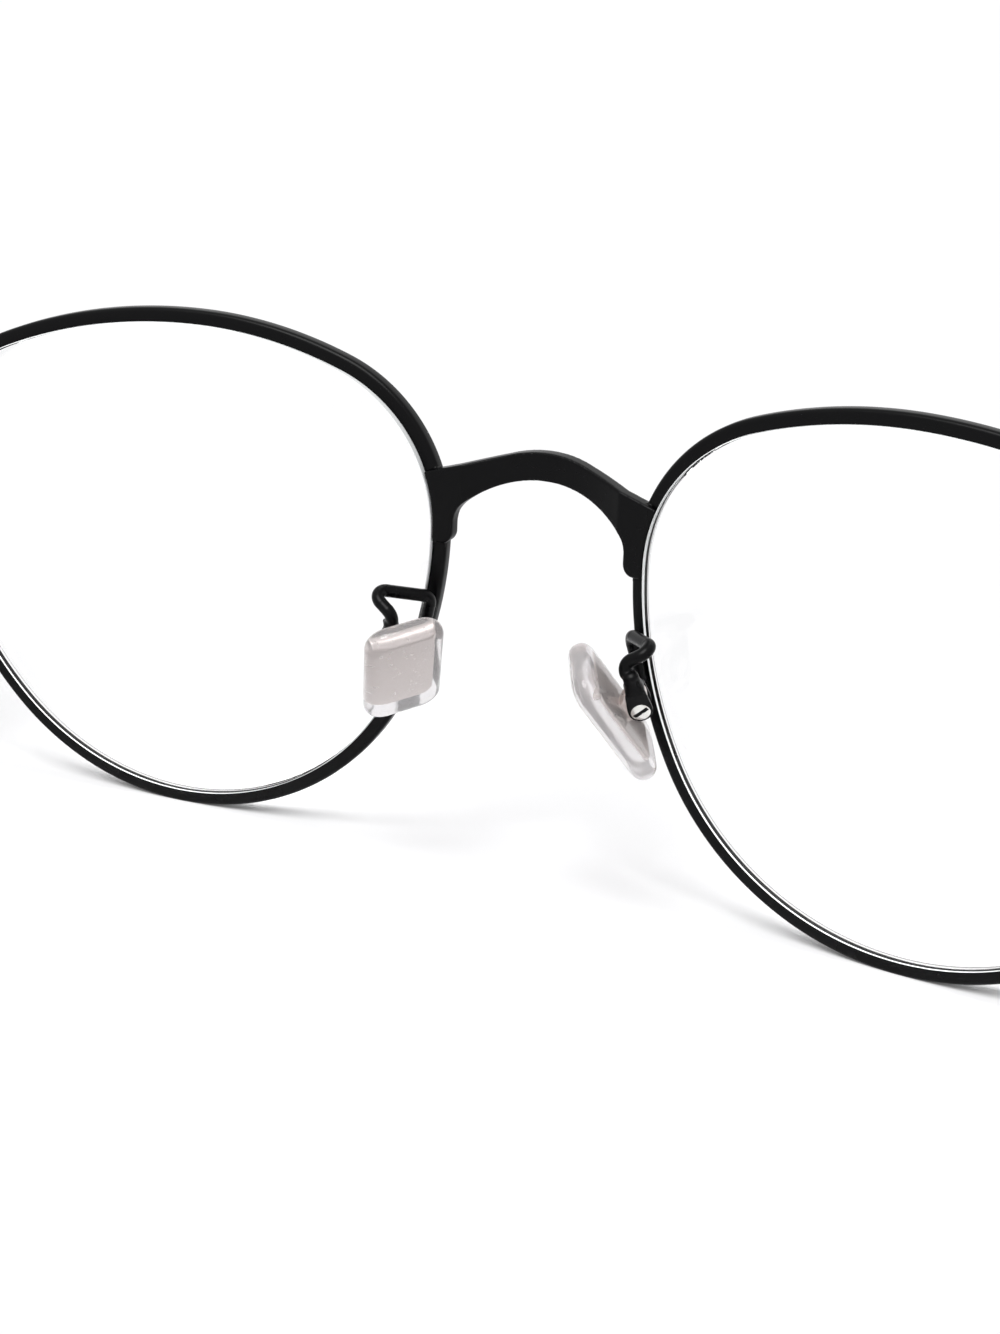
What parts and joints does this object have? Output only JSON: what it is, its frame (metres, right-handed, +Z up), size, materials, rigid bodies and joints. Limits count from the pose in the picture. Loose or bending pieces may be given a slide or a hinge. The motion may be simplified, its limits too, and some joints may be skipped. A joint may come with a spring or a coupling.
{
  "type": "eyeglasses",
  "caption": "Full-rim metal spectacles with panto lenses, arched bridge, adjustable silicone nose pads and folding temples.",
  "frame": {"origin": "centre of the footprint of the open spectacles, at the height of the surface they stand on", "axes": "+X towards the wearer's right, +Y forward, away from the wearer, +Z up"},
  "size_m": [0.1368, 0.1498, 0.046],
  "materials": {
    "frame_paint": "matte",
    "lens": "polished, clear",
    "screw": "plated, slotted",
    "pad_core": "satin",
    "pad_silicone": "clear, glossy",
    "tip": "satin"
  },
  "bodies": {
    "front": {"bridge": "frame_paint", "rim_right": "frame_paint", "rim_left": "frame_paint", "lens_right": "lens", "lens_left": "lens", "pad_arm_right": "frame_paint", "pad_arm_left": "frame_paint", "pad_box_right": "frame_paint", "pad_box_left": "frame_paint", "pad_screw_right": "screw", "pad_screw_left": "screw", "end_piece_right": "frame_paint", "end_piece_left": "frame_paint", "closing_block_right": "frame_paint", "closing_block_left": "frame_paint", "closing_screw_right": "screw", "closing_screw_left": "screw", "hinge_front_right": "frame_paint", "hinge_front_left": "frame_paint", "hinge_screw_right": "screw", "hinge_screw_left": "screw"},
    "temple_right_body": {"hinge_temple_right": "frame_paint", "temple_right": "frame_paint", "temple_tip_right": "tip"},
    "nose_pad_right_body": {"pad_core_right": "pad_core", "nose_pad_right": "pad_silicone"},
    "temple_left_body": {"hinge_temple_left": "frame_paint", "temple_left": "frame_paint", "temple_tip_left": "tip"},
    "nose_pad_left_body": {"pad_core_left": "pad_core", "nose_pad_left": "pad_silicone"}
  },
  "joints": [
    {"name": "temple_right_fold", "type": "hinge", "parent": "front", "child": "temple_right_body", "pos_m": [0.06559, 0.0617, 0.02927], "axis": [0, 0, -1], "range_deg": [0, 90]},
    {"name": "temple_left_fold", "type": "hinge", "parent": "front", "child": "temple_left_body", "pos_m": [-0.06559, 0.0617, 0.02927], "axis": [0, 0, 1], "range_deg": [0, 87]},
    {"name": "nose_pad_right_rock", "type": "hinge", "parent": "front", "child": "nose_pad_right_body", "pos_m": [0.01172, 0.06804, 0.01946], "axis": [0.4772, -0.7942, -0.3762], "range_deg": [-10, 0]},
    {"name": "nose_pad_left_rock", "type": "hinge", "parent": "front", "child": "nose_pad_left_body", "pos_m": [-0.01134, 0.06852, 0.01966], "axis": [-0.6857, -0.6933, -0.2218], "range_deg": [-2, 10]}
  ]
}
